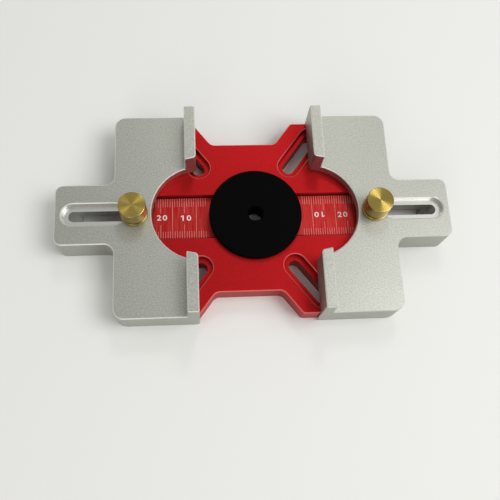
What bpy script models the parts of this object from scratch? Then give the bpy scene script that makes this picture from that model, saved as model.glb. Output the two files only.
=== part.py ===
"""Slotting jig for a trim router: a red base plate with two sliding silver jaws.

Metres, +Z up. The origin is on the underside of the base plate, under the centre of the
black centring disc, which is the axis of the router's cutter. The jaws slide along X.
Each jaw is modelled once in its own frame, with x = 0 on the face that touches the
workpiece and +x pointing outward, and is then turned about Z to its own side.
"""
import math

import bmesh
import bpy
from mathutils import Matrix

# Running gap between two pieces that slide, turn or seat on each other
CLEAR = 0.0003
# Bright broken edge along every outline
EDGE = 0.0004
# Widest gap between a curved outline and its facets, and the largest turn of one facet
FACET_GAP = 0.00004
FACET_TURN = math.radians(18)
TURN_STEPS = 48
CIRCLE_START = math.radians(2.3)
# Faces that turn less than this from each other are one flat face
FLAT_TURN = math.radians(0.5)

# Base plate
PLATE_T = 0.0100
CHANNEL_W = 0.0193
CHANNEL_D = 0.0028
WAIST_L = 0.0278
WAIST_W = 0.0660
WAIST_FILLET = 0.0035
WING_ANGLE = math.radians(52.7)
# Metal left round a slanted slot, on the wing's outer side and at its tip
WING_SIDE_WALL = 0.0016
WING_TIP_WALL = 0.0023
WING_SHOULDER_R = 0.0018
# The waist and the wings lie this far to the left of the cutter's axis
OUTLINE_SHIFT = -0.0038
# Red plate that shows inside each jaw's round cut-out goes on this far under the jaw
ROUND_MARGIN = 0.0009
TONGUE_OVERHANG = 0.0062
TONGUE_CORNER_R = 0.0030

# Four slanted slots for the screws that hold the jig to a router
SOLE_SLOT_W = 0.0052
SOLE_RECESS_W = 0.0096
SOLE_RECESS_D = 0.0025
SOLE_SLOT_TRAVEL = 0.0170
SOLE_SLOT_X = 0.0195
SOLE_SLOT_Y = 0.0223

# Centring disc
DISC_D = 0.0390
DISC_RISE = 0.0021
DISC_BORE_D = 0.0062
SPIGOT_D = 0.0300
SPIGOT_DEPTH = 0.0070

# Jaws: the gap between their lips when open and when pushed together, then their walls
OPENING = 0.0490
CLOSED_OPENING = 0.0160
JAW_ROOF = 0.0047
BLOCK_WALL = 0.0017
SKIRT_T = 0.0008
BLOCK_CORNER_R = 0.0045
ARM_SIDE_WALL = 0.00335
ARM_END_WALL = 0.0026
ARM_CORNER_R = 0.0032
ARM_FILLET = 0.0040
LIP_T = 0.0045
LIP_H = 0.0096
LIP_CORNER_R = 0.0015
CUTOUT_MARGIN = 0.0009
CUTOUT_INSET = 0.0015
KEY_SETBACK = 0.0035

# Slot in each jaw's arm, and the thumbscrew that clamps the jaw through it
SCREW_SETBACK = 0.0069
SCREW_D = 0.0039
# Plain waist under the knob: the washer turns on it and the thread below keeps it on
THREAD_DEPTH = 0.0004
UNDERCUT_L = 0.0020
ARM_SLOT_SPARE = 0.0083
ARM_RECESS_L = 0.0167
ARM_RECESS_W = 0.0096
ARM_RECESS_D = 0.0027
WASHER_D = 0.0113
WASHER_T = 0.0012
KNOB_D = 0.0110
KNOB_H = 0.0072
KNOB_NECK_D = 0.0094
KNOB_NECK_H = 0.0009
KNOB_EDGE = 0.0004
SCREW_TIP_GAP = 0.0015

# Places that follow from the sizes above
JAW_X = OPENING / 2
TRAVEL = (OPENING - CLOSED_OPENING) / 2
CHANNEL_FLOOR = PLATE_T - CHANNEL_D
TONGUE_HALF = CHANNEL_W / 2 - CLEAR
CUTOUT_R = DISC_D / 2 + CUTOUT_MARGIN
ROUND_X = JAW_X - CUTOUT_INSET
ROUND_R = CUTOUT_R + ROUND_MARGIN
SCREW_X = ROUND_X + CUTOUT_R + SCREW_SETBACK
TONGUE_END = SCREW_X + TONGUE_OVERHANG
SLOT_RUN_X = SOLE_SLOT_TRAVEL * math.cos(WING_ANGLE)
SLOT_RUN_Y = SOLE_SLOT_TRAVEL * math.sin(WING_ANGLE)
WING_END_X = SOLE_SLOT_X + SLOT_RUN_X + SOLE_RECESS_W / 2 + WING_SIDE_WALL
WING_END_Y = SOLE_SLOT_Y + SLOT_RUN_Y + SOLE_RECESS_W / 2 + WING_TIP_WALL
POCKET_CORNER_R = BLOCK_CORNER_R - BLOCK_WALL
WING_CORNER_R = POCKET_CORNER_R - CLEAR
JAW_UNDER = PLATE_T + CLEAR
JAW_T = JAW_UNDER + JAW_ROOF
JAW_W = 2 * (WING_END_Y + CLEAR + SKIRT_T)
POCKET_L = WING_END_X + abs(OUTLINE_SHIFT) - JAW_X + TRAVEL + CLEAR
BLOCK_L = POCKET_L + BLOCK_WALL
SLOT_W = SCREW_D + 2 * CLEAR
ARM_SLOT_L = TRAVEL + ARM_SLOT_SPARE
ARM_W = CHANNEL_W + 2 * ARM_SIDE_WALL
ARM_END = SCREW_X - JAW_X + ARM_SLOT_L + ARM_RECESS_W / 2 + ARM_END_WALL
UNDERCUT_D = SCREW_D - 2 * THREAD_DEPTH
# Cutters run this far past the faces that they open
PAST = 0.0020


def collection(name):
    """A new collection in the scene."""
    made = bpy.data.collections.new(name)
    bpy.context.scene.collection.children.link(made)
    return made


def material(name, colour, metallic, roughness):
    """Principled material from a linear colour."""
    made = bpy.data.materials.new(name)
    made.use_nodes = True
    made.diffuse_color = (*colour, 1.0)
    shader = made.node_tree.nodes["Principled BSDF"]
    shader.inputs["Base Color"].default_value = (*colour, 1.0)
    shader.inputs["Metallic"].default_value = metallic
    shader.inputs["Roughness"].default_value = roughness
    return made


def arc(cx, cy, radius, start, end):
    """Points along an arc, both ends included, with facets as fine as FACET_GAP asks."""
    facet = min(FACET_TURN, 2 * math.acos(1 - FACET_GAP / radius))
    count = max(2, math.ceil(abs(end - start) / facet))
    turns = [start + (end - start) * i / count for i in range(count + 1)]
    return [(cx + radius * math.cos(a), cy + radius * math.sin(a)) for a in turns]


def rounded(corners):
    """Closed outline through (x, y, radius) corners, each turned by an arc of its radius."""
    outline = []
    for i, (x, y, radius) in enumerate(corners):
        before = corners[i - 1]
        after = corners[(i + 1) % len(corners)]
        if radius == 0:
            outline.append((x, y))
            continue
        back = math.atan2(before[1] - y, before[0] - x)
        ahead = math.atan2(after[1] - y, after[0] - x)
        opening = (ahead - back + math.pi) % (2 * math.pi) - math.pi
        reach = radius / math.sin(abs(opening) / 2)
        middle = back + opening / 2
        side = math.copysign(1, opening)
        cx = x + reach * math.cos(middle)
        cy = y + reach * math.sin(middle)
        start = back - side * math.pi / 2
        sweep = side * (abs(opening) - math.pi)
        outline += arc(cx, cy, radius, start, start + sweep)
    return outline


def stadium(x0, y0, x1, y1, width):
    """Slot outline of the given width round two end centres."""
    along = math.atan2(y1 - y0, x1 - x0)
    quarter = math.pi / 2
    far_end = arc(x1, y1, width / 2, along - quarter, along + quarter)
    near_end = arc(x0, y0, width / 2, along + quarter, along + 3 * quarter)
    return far_end + near_end


def rectangle(x0, x1, half_width, corner=0.0, far_corner=0.0):
    """Outline symmetric about X, with one radius at x0 and one at x1."""
    return rounded([
        (x1, -half_width, far_corner),
        (x1, half_width, far_corner),
        (x0, half_width, corner),
        (x0, -half_width, corner),
    ])


def circle(cx, cy, radius):
    """Closed round outline, turned a little so that no corner lies on the part's middle planes."""
    return arc(cx, cy, radius, CIRCLE_START, CIRCLE_START + 2 * math.pi)[:-1]


def place(name, mesh, group, parent=None):
    """Object for a mesh, in a collection and under a parent."""
    made = bpy.data.objects.new(name, mesh)
    group.objects.link(made)
    made.parent = parent
    return made


def as_cutter(made):
    """Marks an object as a tool that shapes others and isn't a piece itself."""
    made.hide_render = True
    made.display_type = "WIRE"
    return made


def slab(name, outline, bottom, top, group, parent=None):
    """Flat outline given thickness as a 2D curve, then made a welded mesh."""
    curve = bpy.data.curves.new(name, "CURVE")
    curve.dimensions = "2D"
    curve.fill_mode = "BOTH"
    curve.extrude = (top - bottom) / 2
    spline = curve.splines.new("POLY")
    spline.points.add(len(outline) - 1)
    for point, (x, y) in zip(spline.points, outline):
        point.co = (x, y, 0, 1)
    spline.use_cyclic_u = True
    drawn = bpy.data.objects.new(name, curve)
    bpy.context.scene.collection.objects.link(drawn)
    graph = bpy.context.evaluated_depsgraph_get()
    mesh = bpy.data.meshes.new_from_object(drawn.evaluated_get(graph))
    bpy.data.objects.remove(drawn, do_unlink=True)
    bpy.data.curves.remove(curve)
    mesh.transform(Matrix.Translation((0, 0, (bottom + top) / 2)))
    mesh.name = name
    shape = bmesh.new()
    shape.from_mesh(mesh)
    for corner in shape.verts:
        corner.co.z = top if corner.co.z > (bottom + top) / 2 else bottom
    bmesh.ops.remove_doubles(shape, verts=shape.verts, dist=0.000001)
    # Each cap becomes one face, so that a chamfer can follow the whole outline
    bmesh.ops.dissolve_degenerate(shape, dist=0.000001, edges=shape.edges)
    bmesh.ops.dissolve_limit(shape, angle_limit=FLAT_TURN, verts=shape.verts, edges=shape.edges)
    bmesh.ops.recalc_face_normals(shape, faces=shape.faces)
    shape.to_mesh(mesh)
    shape.free()
    return place(name, mesh, group, parent)


def turned(name, profile, group, parent=None, ring=False):
    """Profile of (radius, height) points, outer side running down, turned about Z."""
    mesh = bpy.data.meshes.new(name)
    edges = [(i, i + 1) for i in range(len(profile) - 1)]
    if ring:
        edges.append((len(profile) - 1, 0))
    mesh.from_pydata([(r, 0, z) for r, z in profile], edges, [])
    made = place(name, mesh, group, parent)
    screw = made.modifiers.new("turn", "SCREW")
    screw.steps = TURN_STEPS
    screw.render_steps = TURN_STEPS
    screw.use_merge_vertices = True
    screw.merge_threshold = 0.00001
    return made


def break_edges(made, width=EDGE):
    """Chamfer along every sharp edge."""
    bevel = made.modifiers.new("broken edges", "BEVEL")
    bevel.width = width
    bevel.segments = 1
    bevel.limit_method = "ANGLE"
    bevel.angle_limit = math.radians(35)


def combine(made, tool, operation):
    """Exact Boolean of one object with another."""
    step = made.modifiers.new(tool.name, "BOOLEAN")
    step.operation = operation
    step.solver = "EXACT"
    step.object = tool
    as_cutter(tool)


def cut_rim(made, name, outline_at, width, surface, parent=None):
    """Chamfers the mouth of a slot whose outline is a function of its width."""
    # The tool's sloping side passes through the slot's wall one EDGE below the surface
    mouth = slab(name, outline_at(width + 4 * EDGE), surface - 2 * EDGE, surface + PAST, tools, parent)
    break_edges(mouth, 3 * EDGE)
    combine(made, mouth, "DIFFERENCE")


def smooth_round_faces(made):
    """Soft shading over the facets of curves, with edges over 30 degrees kept sharp."""
    made.data.shade_smooth()
    made.data.set_sharp_from_angle(angle=math.radians(30))


def plate_side(sign):
    """One side of the red plate's outline, from the back wing round to the front one."""
    # The wing's hidden outer side is parallel to its slot and runs down to the round
    hip_x = SOLE_SLOT_X + SOLE_RECESS_W / 2
    hip_y = SOLE_SLOT_Y - SOLE_RECESS_W / 2
    outer_y = hip_y + (WING_END_X - hip_x) * math.tan(WING_ANGLE)
    shoulder = WAIST_L / 2 + (WING_END_Y - WAIST_W / 2) / math.tan(WING_ANGLE)
    wing = [
        (WAIST_L / 2, WAIST_W / 2, WAIST_FILLET),
        (shoulder, WING_END_Y, WING_SHOULDER_R),
        (WING_END_X, WING_END_Y, WING_CORNER_R),
        (WING_END_X, outer_y, WING_CORNER_R),
    ]
    wing = [(OUTLINE_SHIFT + sign * x, y, r) for x, y, r in wing]
    # Turn, about the round's centre, of the point where that side meets the round
    away = sign * OUTLINE_SHIFT + hip_x - ROUND_X
    along = away * math.cos(WING_ANGLE) + hip_y * math.sin(WING_ANGLE)
    run = math.sqrt(along ** 2 - away ** 2 - hip_y ** 2 + ROUND_R ** 2) - along
    meet = math.atan2(hip_y + run * math.sin(WING_ANGLE), away + run * math.cos(WING_ANGLE))
    edge = [(sign * x, y, 0) for x, y in arc(ROUND_X, 0, ROUND_R, meet, -meet)]
    return wing + edge + [(x, -y, r) for x, y, r in reversed(wing)]


def build_base_plate():
    """Red plate with channel, disc seat, sole slots and two tapped tongues."""
    outline = rounded(plate_side(1) + plate_side(-1)[::-1])
    plate = slab("base_plate", outline, 0, PLATE_T, pieces)
    break_edges(plate)
    tongue_shape = rectangle(-TONGUE_END, TONGUE_END, TONGUE_HALF, TONGUE_CORNER_R, TONGUE_CORNER_R)
    tongue = slab("tongue", tongue_shape, 0, (CHANNEL_FLOOR + PLATE_T) / 2, tools)
    break_edges(tongue)
    combine(plate, tongue, "UNION")
    reach = TONGUE_END + PAST
    channel = slab("channel", rectangle(-reach, reach, CHANNEL_W / 2), CHANNEL_FLOOR, PLATE_T + PAST, tools)
    combine(plate, channel, "DIFFERENCE")
    seat = slab("disc_seat", circle(0, 0, SPIGOT_D / 2 + CLEAR), -PAST, PLATE_T + PAST, tools)
    combine(plate, seat, "DIFFERENCE")
    for side, sign in (("left", -1), ("right", 1)):
        thread = slab(f"{side}_thread", circle(sign * SCREW_X, 0, SLOT_W / 2), -PAST, PLATE_T, tools)
        combine(plate, thread, "DIFFERENCE")
    for x_sign in (-1, 1):
        for y_sign in (-1, 1):
            cut_sole_slot(plate, x_sign, y_sign)
    return plate


def cut_sole_slot(plate, x_sign, y_sign):
    """One slanted slot with its recess for a screw head."""
    x0 = OUTLINE_SHIFT + x_sign * SOLE_SLOT_X
    y0 = y_sign * SOLE_SLOT_Y
    x1 = x0 + x_sign * SLOT_RUN_X
    y1 = y0 + y_sign * SLOT_RUN_Y
    name = ("right" if x_sign > 0 else "left") + ("_back" if y_sign > 0 else "_front")

    def outline_at(width):
        return stadium(x0, y0, x1, y1, width)

    ledge = PLATE_T - SOLE_RECESS_D
    recess = slab(f"{name}_recess", outline_at(SOLE_RECESS_W), ledge, PLATE_T + PAST, tools)
    combine(plate, recess, "DIFFERENCE")
    hole = slab(f"{name}_slot", outline_at(SOLE_SLOT_W), -PAST, (ledge + PLATE_T) / 2, tools)
    combine(plate, hole, "DIFFERENCE")
    cut_rim(plate, f"{name}_rim", outline_at, SOLE_RECESS_W, PLATE_T)


def build_centring_disc():
    """Black disc that rests on the plate, with a spigot in its bore and a hole for the bit."""
    top = PLATE_T + CLEAR + DISC_RISE
    foot = PLATE_T - SPIGOT_DEPTH
    bore = DISC_BORE_D / 2
    rim = DISC_D / 2
    profile = [
        (bore, top - EDGE), (bore + EDGE, top), (rim - EDGE, top), (rim, top - EDGE),
        (rim, PLATE_T + CLEAR), (SPIGOT_D / 2, PLATE_T + CLEAR), (SPIGOT_D / 2, foot), (bore, foot),
    ]
    return turned("centring_disc", profile, pieces, ring=True)


def jaw_outline():
    """Jaw seen from above, block and arm, with the round cut-out on its inner side."""
    half = JAW_W / 2
    arm = ARM_W / 2
    outer = [
        (0, -half, 0),
        (BLOCK_L, -half, BLOCK_CORNER_R),
        (BLOCK_L, -arm, ARM_FILLET),
        (ARM_END, -arm, ARM_CORNER_R),
        (ARM_END, arm, ARM_CORNER_R),
        (BLOCK_L, arm, ARM_FILLET),
        (BLOCK_L, half, BLOCK_CORNER_R),
        (0, half, 0),
    ]
    lip_y = lip_corner_y()
    meet = math.atan2(lip_y, LIP_CORNER_R + CUTOUT_INSET)
    inner = arc(LIP_CORNER_R, lip_y, LIP_CORNER_R, math.pi, math.pi + meet)
    inner += arc(-CUTOUT_INSET, 0, CUTOUT_R, meet, -meet)[1:-1]
    inner += arc(LIP_CORNER_R, -lip_y, LIP_CORNER_R, math.pi - meet, math.pi)
    return rounded(outer) + inner


def lip_corner_y():
    """Centre of the small round that joins a lip's inner face to the cut-out."""
    reach = CUTOUT_R + LIP_CORNER_R
    return math.sqrt(reach ** 2 - (LIP_CORNER_R + CUTOUT_INSET) ** 2)


def build_jaw(side, parent):
    """Silver jaw milled from one block: lips, hollow underside, guide key and slotted arm."""
    jaw = slab(f"{side}_jaw", jaw_outline(), 0, JAW_T + LIP_H, pieces, parent)
    shelf = slab(f"{side}_shelf", rectangle(LIP_T, ARM_END + PAST, JAW_W / 2 + PAST),
                 JAW_T, JAW_T + LIP_H + PAST, tools, parent)
    combine(jaw, shelf, "DIFFERENCE")
    break_edges(jaw)
    hollow_jaw(jaw, side, parent)
    cut_arm_slot(jaw, side, parent)
    return jaw


def hollow_jaw(jaw, side, parent):
    """Clears the underside for the base plate over the whole travel, round a guide key."""
    pocket = slab(f"{side}_pocket",
                  rectangle(-PAST, POCKET_L, JAW_W / 2 - SKIRT_T, 0, POCKET_CORNER_R),
                  -PAST, JAW_UNDER, tools, parent)
    combine(jaw, pocket, "DIFFERENCE")
    swept_round = slab(f"{side}_round_pocket", circle(TRAVEL - CUTOUT_INSET, 0, ROUND_R + CLEAR),
                       -PAST, JAW_UNDER, tools, parent)
    combine(jaw, swept_round, "DIFFERENCE")
    key_start = CUTOUT_R - CUTOUT_INSET + KEY_SETBACK
    key_end = TRAVEL - CUTOUT_INSET + ROUND_R + 2 * CLEAR
    key = slab(f"{side}_key", rectangle(key_start, key_end, TONGUE_HALF), CHANNEL_FLOOR / 2,
               (JAW_UNDER + JAW_T) / 2, tools, parent)
    combine(jaw, key, "UNION")
    tongue_reach = TONGUE_END - JAW_X + TRAVEL + CLEAR
    tunnel = slab(f"{side}_tunnel", rectangle(-PAST, tongue_reach, CHANNEL_W / 2, 0, TONGUE_CORNER_R),
                  -PAST, CHANNEL_FLOOR + CLEAR, tools, parent)
    combine(jaw, tunnel, "DIFFERENCE")


def cut_arm_slot(jaw, side, parent):
    """Through slot from the clamped screw outward, with a wide recess along its outer part."""
    inner = SCREW_X - JAW_X
    outer = inner + ARM_SLOT_L
    ledge = JAW_T - ARM_RECESS_D
    hole = slab(f"{side}_arm_slot", stadium(inner, 0, outer, 0, SLOT_W), -PAST, JAW_T + PAST, tools, parent)
    combine(jaw, hole, "DIFFERENCE")

    def outline_at(width):
        return stadium(outer - ARM_RECESS_L, 0, outer, 0, width)

    recess = slab(f"{side}_arm_recess", outline_at(ARM_RECESS_W), ledge, JAW_T + PAST, tools, parent)
    combine(jaw, recess, "DIFFERENCE")
    cut_rim(jaw, f"{side}_arm_rim", outline_at, ARM_RECESS_W, JAW_T, parent)


def build_washer(side, parent):
    """Brass washer between the jaw and the knob, held captive by the screw's thread."""
    bottom = JAW_T + CLEAR
    top = bottom + WASHER_T
    inner = UNDERCUT_D / 2 + CLEAR
    outer = WASHER_D / 2
    profile = [
        (inner, top), (outer - KNOB_EDGE, top), (outer, top - KNOB_EDGE),
        (outer, bottom + KNOB_EDGE), (outer - KNOB_EDGE, bottom), (inner, bottom),
    ]
    return turned(f"{side}_washer", profile, pieces, parent, ring=True)


def build_thumbscrew(side, parent):
    """Turned brass knob with a short neck and its threaded shank."""
    neck = JAW_T + CLEAR + WASHER_T + CLEAR
    under = neck + KNOB_NECK_H
    top = under + KNOB_H
    knob = KNOB_D / 2
    shank = SCREW_D / 2
    waist = UNDERCUT_D / 2
    thread = neck - UNDERCUT_L
    profile = [
        (0, top), (knob - KNOB_EDGE, top), (knob, top - KNOB_EDGE),
        (knob, under + KNOB_EDGE), (knob - KNOB_EDGE, under), (KNOB_NECK_D / 2, under),
        (KNOB_NECK_D / 2, neck), (waist, neck), (waist, thread), (shank, thread - KNOB_EDGE),
        (shank, SCREW_TIP_GAP + KNOB_EDGE), (shank - KNOB_EDGE, SCREW_TIP_GAP), (0, SCREW_TIP_GAP),
    ]
    return turned(f"{side}_thumbscrew", profile, pieces, parent)


def guide(name, x, turn=0.0):
    """Empty that carries one side's pieces."""
    made = bpy.data.objects.new(name, None)
    pieces.objects.link(made)
    made.location = (x, 0, 0)
    made.rotation_euler = (0, 0, turn)
    return made


for old in list(bpy.data.objects):
    bpy.data.objects.remove(old, do_unlink=True)

pieces = collection("slotting_jig")
tools = collection("cutters")

red = material("red_anodised_aluminium", (0.48, 0.012, 0.016), 0.6, 0.40)
silver = material("bead_blasted_aluminium", (0.55, 0.56, 0.53), 0.9, 0.45)
black = material("black_acetal", (0.004, 0.005, 0.005), 0.0, 0.45)
brass = material("turned_brass", (0.55, 0.36, 0.12), 1.0, 0.25)

made_of = {red: [build_base_plate()], black: [build_centring_disc()], silver: [], brass: []}
for side, sign, turn in (("left", -1, math.pi), ("right", 1, 0.0)):
    jaw_frame = guide(f"{side}_jaw_frame", sign * JAW_X, turn)
    screw_axis = guide(f"{side}_screw_axis", sign * SCREW_X)
    made_of[silver].append(build_jaw(side, jaw_frame))
    made_of[brass].append(build_washer(side, screw_axis))
    made_of[brass].append(build_thumbscrew(side, screw_axis))

for finish, members in made_of.items():
    for member in members:
        member.data.materials.append(finish)
        smooth_round_faces(member)
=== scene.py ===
"""Looks of the slotting jig: anodised plate and jaws, turned brass knobs, black disc and a
millimetre scale, on a pale studio floor. Metres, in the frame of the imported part.
"""
import math

import bmesh
import bpy
import numpy as np
from mathutils import Matrix, Vector


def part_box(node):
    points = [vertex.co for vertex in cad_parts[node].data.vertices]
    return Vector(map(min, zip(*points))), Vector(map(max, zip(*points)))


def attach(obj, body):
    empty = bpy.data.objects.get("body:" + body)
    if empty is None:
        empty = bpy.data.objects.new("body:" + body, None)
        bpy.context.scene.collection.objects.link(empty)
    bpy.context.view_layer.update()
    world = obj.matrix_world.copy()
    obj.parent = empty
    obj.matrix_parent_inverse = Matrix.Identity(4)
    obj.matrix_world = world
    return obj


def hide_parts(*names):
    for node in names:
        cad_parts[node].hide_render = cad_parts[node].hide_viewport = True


MM = 0.001

# Camera fitted to the photograph, whose image is square, with lens and sensor in millimetres
CAMERA_AT = (-23.74 * MM, -96.47 * MM, 268.96 * MM)
CAMERA_PITCH = math.radians(17.33)
CAMERA_YAW = math.radians(-4.58)
CAMERA_ROLL = math.radians(-2.86)
CAMERA_LENS = 47.12
CAMERA_SENSOR = 36.0

# Floor just under the jig, which fades into the surround between two distances from it
FLOOR_DROP = 0.1 * MM
FLOOR_HALF = 4.0
FLOOR_FADE = (0.25, 1.1)

# Pale surround, and the strength at which the camera and reflections see it
SURROUND = "FAFAF8"
SURROUND_GLOW = 0.56
# Light that the surround throws: at the horizon, and how much more overhead, as under a ceiling
HORIZON_GLOW = 0.30
OVERHEAD_RISE = 0.28

# Softboxes: name, place and side in metres, power in watts, tint
SOFTBOXES = (
    ("key_light", (0.13, 0.58, 0.82), 0.18, 0.80, "FFFDF8"),
    ("front_light", (-0.25, -0.80, 0.45), 0.40, 1.0, "FFFDF8"),
    ("right_light", (0.54, -0.12, 0.83), 0.55, 5.0, "FFFFFF"),
)

# Round pieces are turned in this many steps, and edges that turn more than this stay crisp
TURN_STEPS = 128
SMOOTH_TURN = math.radians(28)
ARC_STEPS = 6
# Last step of a flat face, which alone shares its normals with the rounded edge
FLAT_STEP = 0.04 * MM

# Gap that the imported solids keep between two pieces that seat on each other
SEAT_GAP = 0.3 * MM

# Thumbscrew: knob and neck, plain waist in the washer, and M4 thread on the shank
RIM_R = 0.35 * MM
UNDER_RIM_R = 0.3 * MM
NECK_R = 4.7 * MM
NECK_H = 0.9 * MM
NECK_EDGE = 0.1 * MM
WAIST_R = 1.55 * MM
WAIST_L = 2.0 * MM
THREAD_D = 4.0 * MM
THREAD_PITCH = 0.7 * MM
THREAD_DEPTH = 0.38 * MM
THREAD_END = 0.4 * MM
TIP_BEVEL = 0.45 * MM
ROWS_PER_TURN = 10
# Radius of the smallest ring on the knob's top, inside which one fan closes it
FACE_START = 0.05 * MM

WASHER_EDGE_R = 0.3 * MM

# Disc: hole with a countersink, spigot, and rings that the turning tool left on its face, drawn
# coarser than real ones of 0.1 to 0.2 mm
DISC_BORE_R = 3.1 * MM
DISC_SINK = 0.5 * MM
DISC_EDGE_R = 0.4 * MM
SPIGOT_R = 15.0 * MM
DISC_MARK_PITCH = 0.5 * MM
DISC_MARK_H = 0.004 * MM
ROWS_PER_MARK = 8

# Jaw: height of its lips over the shelf behind them, and the recess in its arm
LIP_H = 9.6 * MM
ARM_RECESS_W = 9.6 * MM
# The recess has its milled finish, smoother and painted paler as a highlight, between these distances from
# the arm's end
ARM_RECESS_SPAN = (1.0 * MM, 28.0 * MM)

CHANNEL_D = 2.8 * MM
CHANNEL_HALF = 9.65 * MM
# Painted shade: a dark line at the foot of the channel's walls, where their shadow falls,
# shifted so that it's wider in front, where the wall hides part of the floor from the photograph's side
FOOT_SHADE_W = 0.85 * MM
FOOT_SHADE_SHIFT = 0.45 * MM

# Corner between a right wing's foot and the plate's round end, seen from above, in millimetres
WING_ROOT_OUTLINE = ((22.6, 20.6), (25.6, 24.7), (26.2, 22.3), (26.2, 19.2))
WING_ROOT_LIFT = 0.02 * MM
WING_ROOT_SINK = 0.01 * MM

# Scale in the channel: a line each millimetre, from ZERO_X outward, up to SCALE_END
ZERO_X = 19.92 * MM
SCALE_START = 1
SCALE_END = 25
LINE_W = 0.16 * MM
SHORT_LINE = 3.8 * MM
# The lines end this far inside the channel's walls, and a tenth line leaves room for its numeral
LINE_GAP = 0.35 * MM
NUMERAL_GAP = 2.6 * MM
# Lines and numerals are this thick, and lie this far over the channel's floor
MARK_H = 0.02 * MM
MARK_LIFT = 0.004 * MM

# Numerals: height, share of the letter size that a digit fills, widening, spacing and boldness
DIGIT_H = 2.3 * MM
DIGIT_SHARE = 0.7
DIGIT_STRETCH = 1.2
DIGIT_SPACING = 1.25
DIGIT_BOLDER = 0.06 * MM
# Slanting flag of a 1, from the top left corner of its stroke, in millimetres
FLAG_OUTLINE = ((0.1, 0.0), (-0.1, 0.0), (-0.62, -0.42), (-0.62, -0.80), (0.1, -0.45))
# Each numeral's name, digits, middle in millimetres, and turn
NUMERALS = (
    ("left_numeral_20", "20", -39.4, 0.7, 0.0),
    ("left_numeral_10", "10", -29.3, 0.4, 0.0),
    ("right_numeral_10", "10", 28.0, 0.7, math.pi),
    ("right_numeral_20", "20", 38.0, 0.5, 0.0),
)

# Grain of the finishes. Blasting pits of about 0.1 mm are too fine to show in the render, so they
# are drawn coarser, and so is the grain of the etched red anodising.
BLAST_GRAIN = 0.5 * MM
BLAST_DEPTH = 0.02 * MM
BLAST_CLOUD = 14 * MM
RED_GRAIN = 0.45 * MM
RED_DEPTH = 0.03 * MM
CUTTER_MARK = 0.30 * MM
# The cutter's marks are drawn out along Y, this much less dense than across
CUTTER_STRETCH = 0.025
BRASS_HAZE = 0.8 * MM
NUMERAL_GRAIN = 0.3 * MM
LINE_GRAIN = 0.6 * MM
GRAIN_ROUGHNESS = 0.65
# Distance between the rings in the disc's gloss
DISC_RING_PITCH = 1.885 * MM

# Room that a mask leaves round the face that it picks out
MASK_MARGIN = 0.05 * MM
# Upward part of the normal on a 45 degree chamfer, and how far a face may be from it
CHAMFER_RISE = math.sqrt(0.5)
CHAMFER_ROOM = 0.2

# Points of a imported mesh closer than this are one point
MERGE_DISTANCE = 0.001 * MM


def colour(code):
    """Linear colour and alpha from an sRGB hex code."""
    parts = [int(code[i:i + 2], 16) / 255 for i in (0, 2, 4)]
    return tuple(p / 12.92 if p <= 0.04045 else ((p + 0.055) / 1.055) ** 2.4 for p in parts) + (1.0,)


def fill(tree, node, inputs):
    """Fills a node's inputs with values, or links them to a socket or to a node's first output."""
    for name, value in inputs.items():
        if isinstance(value, bpy.types.Node):
            value = next(socket for socket in value.outputs if socket.enabled)
        if isinstance(value, bpy.types.NodeSocket):
            tree.links.new(value, node.inputs[name])
        else:
            node.inputs[name].default_value = value


def add(tree, kind, inputs=None, **settings):
    """Adds a node with its settings and its inputs."""
    made = tree.nodes.new(kind)
    for name, value in settings.items():
        setattr(made, name, value)
    fill(tree, made, inputs or {})
    return made


def new_material(name, **shader_values):
    """Material with a Principled shader whose own sockets hold the given values, and the
    Object coordinates that its patterns follow."""
    made = bpy.data.materials.new(name)
    made.use_nodes = True
    tree = made.node_tree
    shader = tree.nodes["Principled BSDF"]
    fill(tree, shader, {socket.replace("_", " "): value for socket, value in shader_values.items()})
    where = add(tree, "ShaderNodeTexCoord").outputs["Object"]
    return made, tree, shader, where


def dappled(tree, where, grain, detail, dark, pale):
    """Colour that wanders from dark to pale in grains of the given size, and the grain itself."""
    pattern = add(tree, "ShaderNodeTexNoise", {
        "Vector": where, "Scale": 1 / grain, "Detail": detail, "Roughness": GRAIN_ROUGHNESS})
    tone = add(tree, "ShaderNodeMix", {"Factor": pattern, "A": colour(dark), "B": colour(pale)},
               data_type="RGBA")
    return tone, pattern


def overlay(tree, tone, code, strength, *masks):
    """Tone with a colour laid over it, at the given strength, where all the masks are 1."""
    share = strength
    for mask in masks:
        share = add(tree, "ShaderNodeMath", {0: share, 1: mask}, operation="MULTIPLY")
    return add(tree, "ShaderNodeMix", {"Factor": share, "A": tone, "B": colour(code)}, data_type="RGBA")


def chamfer_mask(tree):
    """1 on faces that slope at 45 degrees, which are the machined chamfers."""
    normal = add(tree, "ShaderNodeNewGeometry").outputs["True Normal"]
    rise = add(tree, "ShaderNodeSeparateXYZ", {0: normal}).outputs["Z"]
    size = add(tree, "ShaderNodeMath", {0: rise}, operation="ABSOLUTE")
    return add(tree, "ShaderNodeMath", {0: size, 1: CHAMFER_RISE, 2: CHAMFER_ROOM}, operation="COMPARE")


def milled_highlight_mask(tree, where, shelf, arm_end):
    """1 in the recess round the slot of each arm: a box below the shelf, near the arm's end, where
    the milled finish is smoother and painted paler as a highlight.
    """
    near, far = ARM_RECESS_SPAN
    place = add(tree, "ShaderNodeSeparateXYZ", {0: where}).outputs
    reach = add(tree, "ShaderNodeMath", {0: place["X"]}, operation="ABSOLUTE")
    along = add(tree, "ShaderNodeMath", {0: reach, 1: arm_end - (near + far) / 2, 2: (far - near) / 2},
                operation="COMPARE")
    across = add(tree, "ShaderNodeMath", {0: place["Y"], 1: 0.0, 2: ARM_RECESS_W / 2 + MASK_MARGIN},
                 operation="COMPARE")
    below = add(tree, "ShaderNodeMath", {0: place["Z"], 1: shelf - 2 * MASK_MARGIN}, operation="LESS_THAN")
    inside = add(tree, "ShaderNodeMath", {0: along, 1: across}, operation="MULTIPLY")
    return add(tree, "ShaderNodeMath", {0: inside, 1: below}, operation="MULTIPLY")


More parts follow.
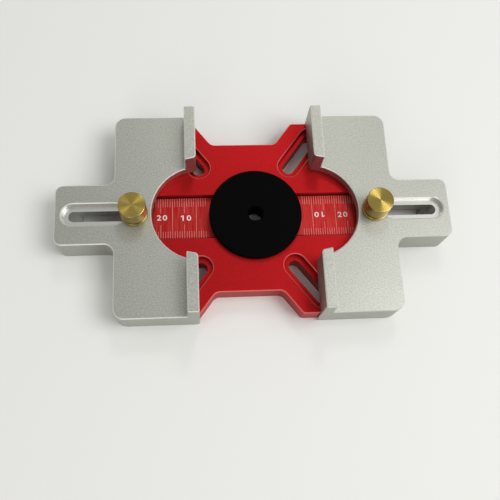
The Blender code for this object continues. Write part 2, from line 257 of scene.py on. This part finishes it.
def blasted_aluminium(shelf, arm_end):
    """Bead blasted, clear anodised aluminium: an even grey with a fine grain and no direction, with
    a painted highlight in a pale colour on its chamfers, and a smoother milled finish with a
    painted highlight in a paler colour in the recess of the arm's slot."""
    made, tree, shader, where = new_material("blasted_aluminium")
    tone, grain = dappled(tree, where, BLAST_GRAIN, 3.0, "5E5F59", "E6E7DE")
    cloud = add(tree, "ShaderNodeTexNoise", {
        "Vector": where, "Scale": 1 / BLAST_CLOUD, "Detail": 2.0, "Roughness": GRAIN_ROUGHNESS})
    milled = milled_highlight_mask(tree, where, shelf, arm_end)
    edge = chamfer_mask(tree)
    tone = overlay(tree, tone, "9B9C94", 0.2, cloud)
    # Partly painted highlight: besides its smoother finish, the milled recess is painted paler
    tone = overlay(tree, tone, "DADAD5", 0.8, milled)
    # Painted highlight: the 45 degree chamfers are painted pale, as bright lines along the edges
    tone = overlay(tree, tone, "F0F0EC", 0.7, edge)
    # A share of both isn't metal, which keeps their painted highlights pale from every side
    at_edge = add(tree, "ShaderNodeMath", {0: edge, 1: -0.5, 2: 1.0}, operation="MULTIPLY_ADD")
    at_floor = add(tree, "ShaderNodeMath", {0: milled, 1: -0.08, 2: 1.0}, operation="MULTIPLY_ADD")
    metal = add(tree, "ShaderNodeMath", {0: at_edge, 1: at_floor}, operation="MINIMUM")
    rough = add(tree, "ShaderNodeMath", {0: milled, 1: -0.16, 2: 0.46}, operation="MULTIPLY_ADD")
    bump = add(tree, "ShaderNodeBump", {"Height": grain, "Strength": 0.25, "Distance": BLAST_DEPTH})
    fill(tree, shader, {"Base Color": tone, "Metallic": metal, "Roughness": rough, "Normal": bump})
    return made


def red_anodised(channel_floor):
    """Red dyed anodised aluminium: satin, with fine grain, a painted highlight in a pale colour on
    its chamfers, fine marks that the cutter left across the channel's floor, and painted shade
    in a dark line at the foot of its walls."""
    made, tree, shader, where = new_material("red_anodised_aluminium", Roughness=0.42)
    tone, grain = dappled(tree, where, RED_GRAIN, 3.0, "840A0E", "CA1C20")
    place = add(tree, "ShaderNodeSeparateXYZ", {0: where}).outputs
    floor = add(tree, "ShaderNodeMath", {0: place["Z"], 1: channel_floor, 2: MASK_MARGIN},
                operation="COMPARE")
    drawn_out = add(tree, "ShaderNodeMapping", {"Vector": where, "Scale": (1.0, CUTTER_STRETCH, 1.0)})
    streaks = add(tree, "ShaderNodeTexNoise", {
        "Vector": drawn_out, "Scale": 1 / CUTTER_MARK, "Detail": 2.0, "Roughness": GRAIN_ROUGHNESS})
    # Steeper contrast turns the soft noise into separate marks
    marks = add(tree, "ShaderNodeMath", {0: streaks, 1: 3.2, 2: -1.2}, operation="MULTIPLY_ADD",
                use_clamp=True)
    # Painted shade: a dark line on the channel's floor at the foot of its walls, where their shadow falls
    from_middle = add(tree, "ShaderNodeMath", {0: place["Y"], 1: FOOT_SHADE_SHIFT}, operation="SUBTRACT")
    away = add(tree, "ShaderNodeMath", {0: from_middle}, operation="ABSOLUTE")
    foot = add(tree, "ShaderNodeMath", {0: away, 1: CHANNEL_HALF - FOOT_SHADE_W}, operation="GREATER_THAN")
    edge = chamfer_mask(tree)
    tone = overlay(tree, tone, "D8605A", 0.4, marks, floor)
    tone = overlay(tree, tone, "2A0406", 0.9, foot, floor)
    # Painted highlight: the chamfers are painted a pale red with less metal, as bright lines along the edges
    tone = overlay(tree, tone, "F06A66", 0.85, edge)
    metal = add(tree, "ShaderNodeMath", {0: edge, 1: -0.8, 2: 0.88}, operation="MULTIPLY_ADD")
    bump = add(tree, "ShaderNodeBump", {"Height": grain, "Strength": 0.25, "Distance": RED_DEPTH})
    fill(tree, shader, {"Base Color": tone, "Metallic": metal, "Normal": bump})
    return made


def black_acetal():
    """Black acetal, turned: nearly matt, with faint rings from the tool. A Wave node repeats
    each tenth of pi at a scale of 1."""
    made, tree, shader, where = new_material("black_acetal", Base_Color=colour("020302"),
                                             Specular_IOR_Level=0.03)
    rings = add(tree, "ShaderNodeTexWave", {
        "Vector": where, "Scale": math.pi / 10 / DISC_RING_PITCH, "Distortion": 0.0},
        wave_type="RINGS", rings_direction="Z")
    rough = add(tree, "ShaderNodeMath", {0: rings.outputs["Fac"], 1: 0.08, 2: 0.46},
                operation="MULTIPLY_ADD")
    fill(tree, shader, {"Roughness": rough})
    return made


def turned_brass():
    """Free cutting brass, turned bright and left bare: yellow metal whose fine rings round the
    axis draw each highlight out into a fan across the end face."""
    made, tree, shader, where = new_material("turned_brass", Metallic=1.0, Roughness=0.27,
                                             Anisotropic=0.9, Anisotropic_Rotation=0.25)
    tone, _ = dappled(tree, where, BRASS_HAZE, 3.0, "A58E46", "B7A25C")
    rings = add(tree, "ShaderNodeTangent", direction_type="RADIAL", axis="Z")
    fill(tree, shader, {"Base Color": tone, "Tangent": rings})
    return made


def laser_numeral():
    """Laser engraved stroke: the dye is burnt out of the anodising and leaves it pale."""
    made, tree, shader, where = new_material("laser_mark", Roughness=0.6)
    tone, _ = dappled(tree, where, NUMERAL_GRAIN, 2.0, "E2C4BE", "F4E6E2")
    fill(tree, shader, {"Base Color": tone})
    return made


def laser_line():
    """Thin laser engraved line: paler red, because it's finer than a numeral's stroke."""
    made, tree, shader, where = new_material("laser_line", Roughness=0.55)
    tone, _ = dappled(tree, where, LINE_GRAIN, 2.0, "C04C48", "F0B4AC")
    fill(tree, shader, {"Base Color": tone})
    return made


def shade(mesh):
    """Normals that show round walls as round and flat faces as flat.

    Each corner's normal is the mean of the faces round its point, weighted by area, of those
    that turn less than SMOOTH_TURN from the corner's own face.
    """
    shape = bmesh.new()
    shape.from_mesh(mesh)
    near = math.cos(SMOOTH_TURN)
    areas = [face.calc_area() for face in shape.faces]
    normals = []
    for face in shape.faces:
        for corner in face.loops:
            mean = Vector((0, 0, 0))
            for other in corner.vert.link_faces:
                if other.normal.dot(face.normal) > near:
                    mean += other.normal * areas[other.index]
            normals.append(mean.normalized() if mean.length > 0 else face.normal.copy())
    shape.free()
    mesh.shade_smooth()
    mesh.normals_split_custom_set(normals)


def place_piece(name, mesh, finish, body):
    """Mesh as a piece of the scene, with its finish, material slot and body."""
    mesh.materials.clear()
    mesh.materials.append(finish)
    piece = bpy.data.objects.new(name, mesh)
    bpy.context.scene.collection.objects.link(piece)
    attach(piece, body)
    return piece


def new_mesh(name, points, faces):
    """Mesh from arrays of points and faces, with its faces turned outward."""
    mesh = bpy.data.meshes.new(name)
    mesh.from_pydata(points.tolist(), [], faces)
    shape = bmesh.new()
    shape.from_mesh(mesh)
    bmesh.ops.recalc_face_normals(shape, faces=shape.faces)
    shape.to_mesh(mesh)
    shape.free()
    return mesh


def grid_faces(rows, columns, close_rows):
    """Quads of a grid that wraps round its columns, and round its rows if asked."""
    last = rows if close_rows else rows - 1
    r, c = np.meshgrid(np.arange(last), np.arange(columns), indexing="ij")
    ahead = (r + 1) % rows * columns
    here = r * columns
    aside = (c + 1) % columns
    return np.stack([here + c, here + aside, ahead + aside, ahead + c], -1).reshape(-1, 4).tolist()


def turned_surface(profile, centre, depth=None, pitch=1.0):
    """Points of a profile of (radius, height) rows turned about a vertical axis through centre.

    Radius at turn t and row i = radius_i - depth_i * w(height_i / pitch - t / 2 pi), where w is
    a triangle wave from 0 at a thread's crest to 1 at its root, so that depth cuts a helix.
    """
    radius = profile[:, 0][:, None]
    height = profile[:, 1][:, None]
    turn = np.linspace(0, 2 * math.pi, TURN_STEPS, endpoint=False)[None, :]
    if depth is not None:
        phase = (height / pitch - turn / (2 * math.pi)) % 1.0
        radius = radius - depth[:, None] * np.abs(2 * phase - 1)
    x = centre[0] + radius * np.cos(turn)
    y = centre[1] + radius * np.sin(turn)
    z = height + 0 * turn
    return np.stack([x, y, z], -1).reshape(-1, 3)


def turned_ring(name, profile, centre):
    """Closed profile turned into a ring."""
    return new_mesh(name, turned_surface(profile, centre), grid_faces(len(profile), TURN_STEPS, True))


def turned_solid(name, profile, centre, depth, pitch):
    """Open profile turned into a solid, with its two ends closed by a point on the axis."""
    points = turned_surface(profile, centre, depth, pitch)
    ends = [[centre[0], centre[1], profile[0, 1]], [centre[0], centre[1], profile[-1, 1]]]
    column = np.arange(TURN_STEPS)
    after = (column + 1) % TURN_STEPS
    start_point = np.full(TURN_STEPS, len(points))
    last_row = (len(profile) - 1) * TURN_STEPS
    start_fan = np.stack([start_point, after, column], -1)
    end_fan = np.stack([start_point + 1, last_row + column, last_row + after], -1)
    walls = grid_faces(len(profile), TURN_STEPS, False)
    return new_mesh(name, np.vstack([points, ends]), walls + start_fan.tolist() + end_fan.tolist())


def round_corner(radius, height, size, start):
    """Rows of a quarter round of the given size, from the start angle on for a quarter turn."""
    angle = np.linspace(start, start - math.pi / 2, ARC_STEPS)
    return np.stack([radius + size * np.cos(angle), height + size * np.sin(angle)], -1)


def flat_face(inner, outer, height):
    """Rows of a flat face from inner to outer radius, with a narrow step before its rounded edge."""
    return np.array([[inner, height], [outer - FLAT_STEP, height], [outer, height]])


def turning_marks(inner, outer, height):
    """Rows of a face with the tool's rings: height - DISC_MARK_H * (1 - cos) / 2 at each radius."""
    count = int(round((outer - inner) / DISC_MARK_PITCH)) * ROWS_PER_MARK
    radius = np.linspace(inner, outer, count + 1)
    wave = (1 - np.cos(2 * math.pi * np.arange(count + 1) / ROWS_PER_MARK)) / 2
    return np.stack([radius, height - DISC_MARK_H * wave], -1)


def build_thumbscrew(side, finish):
    """Brass knob with a flat face, rounded rim, neck, plain waist and a real M4 thread."""
    low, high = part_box(f"{side}_thumbscrew")
    centre = ((low.x + high.x) / 2, 0.0)
    knob = (high.x - low.x) / 2
    top = high.z
    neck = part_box(f"{side}_washer")[1].z + SEAT_GAP
    under = neck + NECK_H
    thread_top = neck - WAIST_L
    tip = low.z
    head = [
        flat_face(FACE_START, knob - RIM_R, top),
        round_corner(knob - RIM_R, top - RIM_R, RIM_R, math.pi / 2)[1:],
        round_corner(knob - UNDER_RIM_R, under + UNDER_RIM_R, UNDER_RIM_R, 0.0),
        np.array([[NECK_R + NECK_EDGE, under], [NECK_R, under - NECK_EDGE], [NECK_R, neck + NECK_EDGE],
                  [NECK_R - NECK_EDGE, neck], [WAIST_R, neck], [WAIST_R, thread_top + THREAD_END]]),
    ]
    rows = int((thread_top - tip - THREAD_END) / THREAD_PITCH * ROWS_PER_TURN)
    heights = np.linspace(thread_top, tip + THREAD_END, rows)
    thread = np.stack([np.full(rows, THREAD_D / 2), heights], -1)
    foot = np.array([[THREAD_D / 2 - TIP_BEVEL, tip]])
    profile = np.vstack(head + [thread, foot])
    depth = np.zeros(len(profile))
    start = len(profile) - 1 - rows
    depth[start:start + rows] = THREAD_DEPTH
    name = f"{side}_brass_thumbscrew"
    mesh = turned_solid(name, profile, centre, depth, THREAD_PITCH)
    shade(mesh)
    piece = place_piece(name, mesh, finish, f"{side}_screw_body")
    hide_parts(f"{side}_thumbscrew")


def build_washer(side, finish):
    """Bright brass washer with rounded edges, round the screw's waist."""
    low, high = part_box(f"{side}_washer")
    centre = ((low.x + high.x) / 2, 0.0)
    inner = WAIST_R + SEAT_GAP
    rim = (high.x - low.x) / 2 - WASHER_EDGE_R
    profile = np.vstack([
        flat_face(inner, rim, high.z),
        round_corner(rim, high.z - WASHER_EDGE_R, WASHER_EDGE_R, math.pi / 2)[1:],
        round_corner(rim, low.z + WASHER_EDGE_R, WASHER_EDGE_R, 0.0),
        np.array([[inner, low.z]]),
    ])
    name = f"{side}_brass_washer"
    mesh = turned_ring(name, profile, centre)
    shade(mesh)
    piece = place_piece(name, mesh, finish, f"{side}_washer_body")
    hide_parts(f"{side}_washer")


def build_disc(plate_top, finish):
    """Black disc with a small radius at its rim, a countersunk hole and its spigot below."""
    low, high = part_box("centring_disc")
    rim = (high.x - low.x) / 2
    seat = plate_top + SEAT_GAP
    profile = np.vstack([
        np.array([[DISC_BORE_R, low.z], [DISC_BORE_R, high.z - DISC_SINK]]),
        turning_marks(DISC_BORE_R + DISC_SINK, rim - DISC_EDGE_R, high.z),
        round_corner(rim - DISC_EDGE_R, high.z - DISC_EDGE_R, DISC_EDGE_R, math.pi / 2)[1:],
        np.array([[rim, seat], [SPIGOT_R, seat], [SPIGOT_R, low.z + DISC_EDGE_R],
                  [SPIGOT_R - DISC_EDGE_R, low.z]]),
    ])
    mesh = turned_ring("black_disc", profile, (0.0, 0.0))
    shade(mesh)
    piece = place_piece("black_disc", mesh, finish, "base")
    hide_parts("centring_disc")


def build_milled(node, name, body, finish):
    """Merged copy of a milled node, shaded so that its round walls look round."""
    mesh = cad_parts[node].data.copy()
    mesh.name = name
    shape = bmesh.new()
    shape.from_mesh(mesh)
    bmesh.ops.remove_doubles(shape, verts=shape.verts, dist=MERGE_DISTANCE)
    shape.to_mesh(mesh)
    shape.free()
    shade(mesh)
    piece = place_piece(name, mesh, finish, body)
    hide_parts(node)


def build_lines(side, sign, channel_floor, finish):
    """Scale lines as thin bars: one each millimetre from both edges, full length at each fifth."""
    bars = []
    edge = CHANNEL_HALF - LINE_GAP
    for reading in range(SCALE_START, SCALE_END + 1):
        x = sign * (ZERO_X + reading * MM)
        if reading % 10 == 0:
            bars += [(x, NUMERAL_GAP, edge), (x, -edge, -NUMERAL_GAP)]
        elif reading % 5 == 0:
            bars.append((x, -edge, edge))
        else:
            bars += [(x, edge - SHORT_LINE, edge), (x, -edge, SHORT_LINE - edge)]
    bars = np.array(bars)
    # The eight corners of a bar: round its lower face, then round its upper one
    right = np.array([0, 1, 1, 0, 0, 1, 1, 0])
    far = np.array([0, 0, 1, 1, 0, 0, 1, 1])
    upper = np.array([0, 0, 0, 0, 1, 1, 1, 1])
    x = bars[:, :1] + (right - 0.5) * LINE_W
    y = bars[:, 1:2] * (1 - far) + bars[:, 2:3] * far
    z = np.broadcast_to(channel_floor + MARK_LIFT + upper * MARK_H, x.shape)
    points = np.stack([x, y, z], -1).reshape(-1, 3)
    bar_faces = np.array([[3, 2, 1, 0], [4, 5, 6, 7], [0, 1, 5, 4], [1, 2, 6, 5], [2, 3, 7, 6],
                          [3, 0, 4, 7]])
    faces = (np.arange(len(bars))[:, None, None] * 8 + bar_faces).reshape(-1, 4).tolist()
    name = f"{side}_scale_lines"
    place_piece(name, new_mesh(name, points, faces), finish, "base")


def add_flag(mesh):
    """Adds the slanting flag to the left of a leading 1, as a thin prism from the top of its stroke."""
    corners = np.array([v.co for v in mesh.vertices])
    left, top = corners[:, 0].min(), corners[:, 1].max()
    shape = bmesh.new()
    shape.from_mesh(mesh)
    outline = [shape.verts.new((left + x * MM, top + y * MM, -MARK_H / 2)) for x, y in FLAG_OUTLINE]
    raised = bmesh.ops.extrude_face_region(shape, geom=[shape.faces.new(outline)])["geom"]
    lifted = [part for part in raised if isinstance(part, bmesh.types.BMVert)]
    bmesh.ops.translate(shape, verts=lifted, vec=(0, 0, MARK_H))
    bmesh.ops.recalc_face_normals(shape, faces=shape.faces)
    shape.to_mesh(mesh)
    shape.free()


def build_numeral(name, digits, x, y, turn, channel_floor, finish):
    """Plain numeral, raised by the thickness of a mark and centred on x and y in millimetres."""
    text = bpy.data.curves.new(name, "FONT")
    text.body = digits
    text.size = DIGIT_H / DIGIT_SHARE
    text.space_character = DIGIT_SPACING
    text.offset = DIGIT_BOLDER
    text.extrude = MARK_H / 2
    text.align_x = "CENTER"
    text.align_y = "CENTER"
    drawn = bpy.data.objects.new(name, text)
    bpy.context.scene.collection.objects.link(drawn)
    mesh = bpy.data.meshes.new_from_object(drawn.evaluated_get(bpy.context.evaluated_depsgraph_get()))
    bpy.data.objects.remove(drawn, do_unlink=True)
    mesh.name = name
    if digits.startswith("1"):
        add_flag(mesh)
    corners = np.array([v.co for v in mesh.vertices])
    middle = (corners.min(0) + corners.max(0)) / 2
    at = Matrix.Translation((x * MM, y * MM, channel_floor + MARK_LIFT + MARK_H / 2))
    wider = Matrix.Diagonal((DIGIT_STRETCH, 1, 1, 1))
    mesh.transform(at @ Matrix.Rotation(turn, 4, "Z") @ wider @ Matrix.Translation(-Vector(middle)))
    place_piece(name, mesh, finish, "base")


def build_wing_root(name, side, plate_top, finish):
    """Metal in the corner between a right wing's foot and the round, flush with the plate's top.

    A prism over a four sided outline, most of which lies inside the plate or under the jaw.
    """
    heights = (WING_ROOT_LIFT, plate_top - WING_ROOT_SINK)
    points = np.array([(x * MM, side * y * MM, z) for z in heights for x, y in WING_ROOT_OUTLINE])
    walls = [(i, (i + 1) % 4, 4 + (i + 1) % 4, 4 + i) for i in range(4)]
    mesh = new_mesh(name, points, [(3, 2, 1, 0), (4, 5, 6, 7)] + walls)
    place_piece(name, mesh, finish, "base")


def seen_rays(tree):
    """1 for rays of the camera, of reflections and through glass, which all see the surround."""
    path = add(tree, "ShaderNodeLightPath").outputs
    direct = add(tree, "ShaderNodeMath", {0: path["Is Camera Ray"], 1: path["Is Glossy Ray"]},
                 operation="MAXIMUM")
    return add(tree, "ShaderNodeMath", {0: direct, 1: path["Is Transmission Ray"]}, operation="MAXIMUM")


def build_floor():
    """Plain pale floor, which fades into the surround far from the jig, so that no horizon shows."""
    mesh = bpy.data.meshes.new("floor")
    corners = [(-1, -1), (1, -1), (1, 1), (-1, 1)]
    mesh.from_pydata([(x * FLOOR_HALF, y * FLOOR_HALF, -FLOOR_DROP) for x, y in corners], [], [(0, 1, 2, 3)])
    made, tree, shader, where = new_material("pale_floor", Base_Color=colour("EDEDEA"), Roughness=0.75)
    away = add(tree, "ShaderNodeVectorMath", {0: where}, operation="LENGTH").outputs["Value"]
    fade = add(tree, "ShaderNodeMapRange", {"Value": away, "From Min": FLOOR_FADE[0],
                                            "From Max": FLOOR_FADE[1]}, interpolation_type="SMOOTHSTEP")
    pale = add(tree, "ShaderNodeEmission", {"Color": colour(SURROUND), "Strength": SURROUND_GLOW})
    share = add(tree, "ShaderNodeMath", {0: fade, 1: seen_rays(tree)}, operation="MULTIPLY")
    both = add(tree, "ShaderNodeMixShader", {0: share, 1: shader, 2: pale})
    fill(tree, tree.nodes["Material Output"], {"Surface": both})
    mesh.materials.append(made)
    floor = bpy.data.objects.new("floor", mesh)
    bpy.context.scene.collection.objects.link(floor)


def light_studio():
    """Square softboxes that face the jig, and a surround that is brighter overhead."""
    for name, place, size, power, tint in SOFTBOXES:
        data = bpy.data.lights.new(name, "AREA")
        data.shape = "SQUARE"
        data.size = size
        data.energy = power
        data.color = colour(tint)[:3]
        lamp = bpy.data.objects.new(name, data)
        lamp.location = place
        lamp.rotation_euler = (-Vector(place)).to_track_quat("-Z", "Y").to_euler()
        bpy.context.scene.collection.objects.link(lamp)
    world = bpy.data.worlds.new("studio")
    world.use_nodes = True
    tree = world.node_tree
    around = add(tree, "ShaderNodeTexCoord").outputs["Generated"]
    rise = add(tree, "ShaderNodeSeparateXYZ", {0: around}).outputs["Z"]
    above = add(tree, "ShaderNodeMath", {0: rise, 1: 0.0}, operation="MAXIMUM")
    glow = add(tree, "ShaderNodeMath", {0: above, 1: OVERHEAD_RISE, 2: HORIZON_GLOW},
               operation="MULTIPLY_ADD")
    shown = add(tree, "ShaderNodeMath", {0: seen_rays(tree), 1: SURROUND_GLOW}, operation="MULTIPLY")
    strength = add(tree, "ShaderNodeMath", {0: glow, 1: shown}, operation="MAXIMUM")
    fill(tree, tree.nodes["Background"], {"Color": colour(SURROUND), "Strength": strength})
    bpy.context.scene.world = world


def aim_camera():
    """Camera at the photograph's place, angle and lens."""
    data = bpy.data.cameras.new("camera")
    data.lens = CAMERA_LENS
    data.sensor_width = CAMERA_SENSOR
    camera = bpy.data.objects.new("camera", data)
    turn = Matrix.Rotation(CAMERA_YAW, 4, "Y") @ Matrix.Rotation(CAMERA_PITCH, 4, "X")
    camera.matrix_world = Matrix.Translation(CAMERA_AT) @ turn @ Matrix.Rotation(CAMERA_ROLL, 4, "Z")
    bpy.context.scene.collection.objects.link(camera)
    bpy.context.scene.camera = camera


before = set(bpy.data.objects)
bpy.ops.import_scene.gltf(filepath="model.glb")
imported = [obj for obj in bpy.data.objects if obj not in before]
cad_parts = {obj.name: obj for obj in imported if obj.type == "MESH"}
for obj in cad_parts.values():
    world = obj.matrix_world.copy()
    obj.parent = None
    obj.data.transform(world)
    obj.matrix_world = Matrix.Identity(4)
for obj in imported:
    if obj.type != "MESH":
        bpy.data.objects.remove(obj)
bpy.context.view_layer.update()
aim_camera()

plate_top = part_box("base_plate")[1].z
channel_floor = plate_top - CHANNEL_D
jaw_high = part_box("right_jaw")[1]
silver = blasted_aluminium(jaw_high.z - LIP_H, jaw_high.x)
red = red_anodised(channel_floor)
black = black_acetal()
brass = turned_brass()
numeral = laser_numeral()
line = laser_line()

build_milled("base_plate", "red_base_plate", "base", red)
build_wing_root("red_wing_root_back", 1, plate_top, red)
build_wing_root("red_wing_root_front", -1, plate_top, red)
build_disc(plate_top, black)
for side, sign in (("left", -1), ("right", 1)):
    build_milled(f"{side}_jaw", f"{side}_silver_jaw", f"{side}_jaw_body", silver)
    build_washer(side, brass)
    build_thumbscrew(side, brass)
    build_lines(side, sign, channel_floor, line)
for name, digits, x, y, turn in NUMERALS:
    build_numeral(name, digits, x, y, turn, channel_floor, numeral)

build_floor()
light_studio()
bpy.context.scene.view_settings.view_transform = "Standard"
